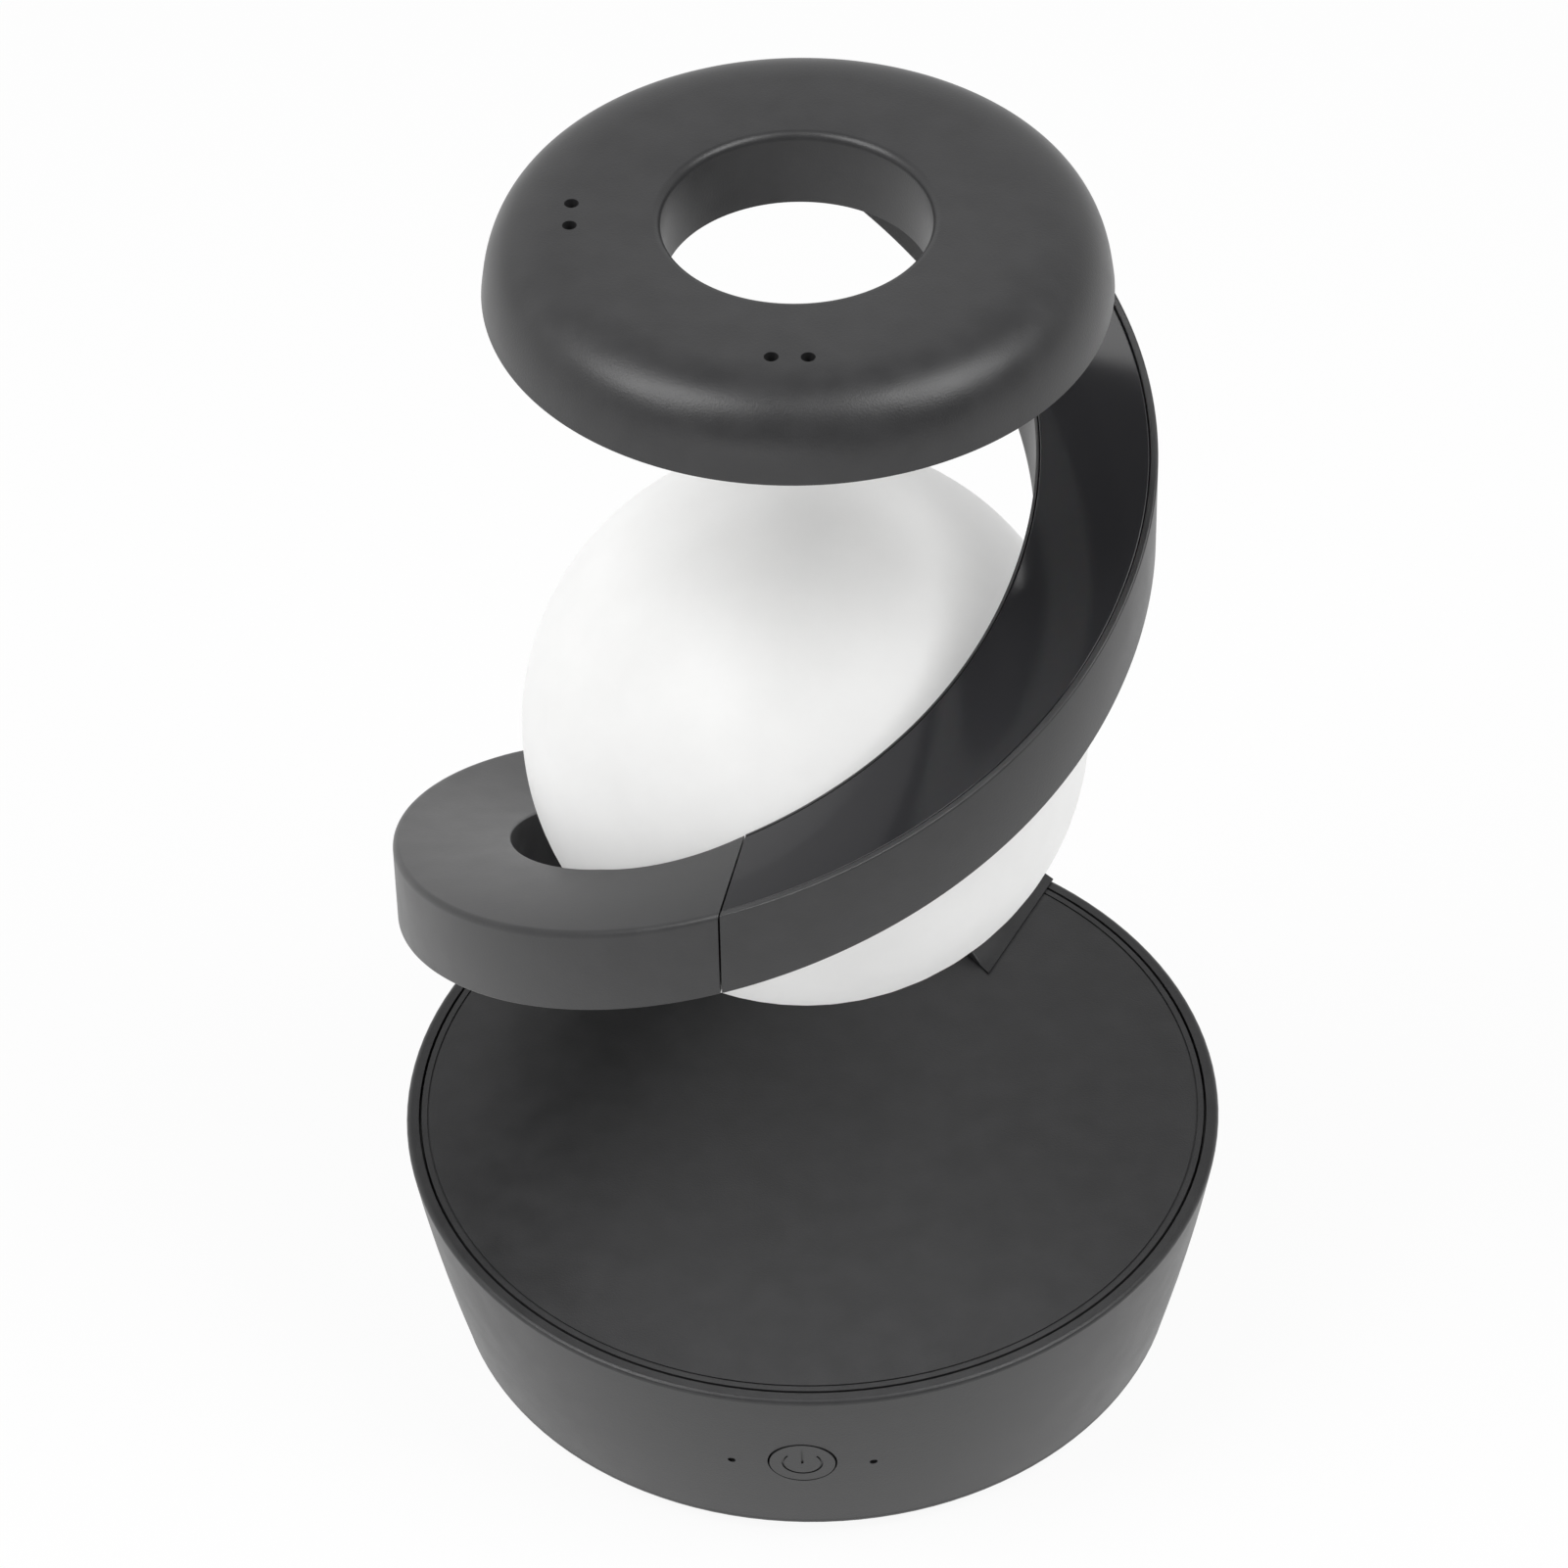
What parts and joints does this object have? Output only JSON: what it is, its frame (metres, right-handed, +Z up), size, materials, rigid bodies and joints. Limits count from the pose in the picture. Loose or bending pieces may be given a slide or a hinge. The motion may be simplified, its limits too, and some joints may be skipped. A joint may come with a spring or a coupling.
{
  "type": "table lamp with a ball in a ribbon arm",
  "caption": "Dark grey table lamp: a round bowl base with a power button, a ribbon arm winding round a white glowing ball, and a flat ring on top.",
  "frame": {"origin": "middle of the face that the rubber feet stand on", "axes": "+Z up, -Y towards the front with the power button, +X to the right as seen from the front"},
  "size_m": [0.15, 0.1507, 0.248],
  "materials": {
    "dark_plastic": "fine satin texture",
    "black_plastic": "matt",
    "gloss_inlay": "polished",
    "ball_white": "satin, translucent",
    "diffuser_white": "satin, translucent",
    "steel": "zinc plated",
    "board_green": "solder mask",
    "board_white": "solder mask",
    "rubber": "matt",
    "wire_red": "smooth"
  },
  "bodies": {
    "lamp": {"base_bowl": "dark_plastic", "top_plate": "dark_plastic", "bottom_cover": "black_plastic", "rubber_feet": "rubber", "cover_screws": "steel", "ballast": "steel", "main_board": "board_green", "board_screws": "steel", "power_inlet": "black_plastic", "inlet_nut": "steel", "tact_switch": "black_plastic", "switch_board": "board_green", "switch_screws": "steel", "status_light_pipes": "black_plastic", "arm_bracket": "steel", "bracket_screws": "steel", "arm_foot_screws": "steel", "arm_lower_body": "dark_plastic", "arm_lower_cover": "black_plastic", "arm_splice": "steel", "splice_screws": "steel", "arm_upper_body": "dark_plastic", "arm_inlay": "gloss_inlay", "arm_light_strip": "board_white", "arm_wires": "wire_red", "ring_cover": "dark_plastic", "ring_pan": "black_plastic", "ring_light_board": "board_white", "ring_diffuser": "diffuser_white", "ring_screws": "steel", "arm_end_screws": "steel", "ball_shell_left": "ball_white", "ball_shell_right": "ball_white", "ball_stem": "steel", "stem_nut": "steel", "ball_light_board": "board_white"},
    "button": {"power_button": "dark_plastic", "switch_plunger": "diffuser_white"}
  },
  "joints": [
    {"name": "button_press", "type": "slide", "parent": "lamp", "child": "button", "axis": [0, 0.9817, 0.1903], "range_m": [0, 0.0006], "stiffness_N_per_m": 400}
  ]
}
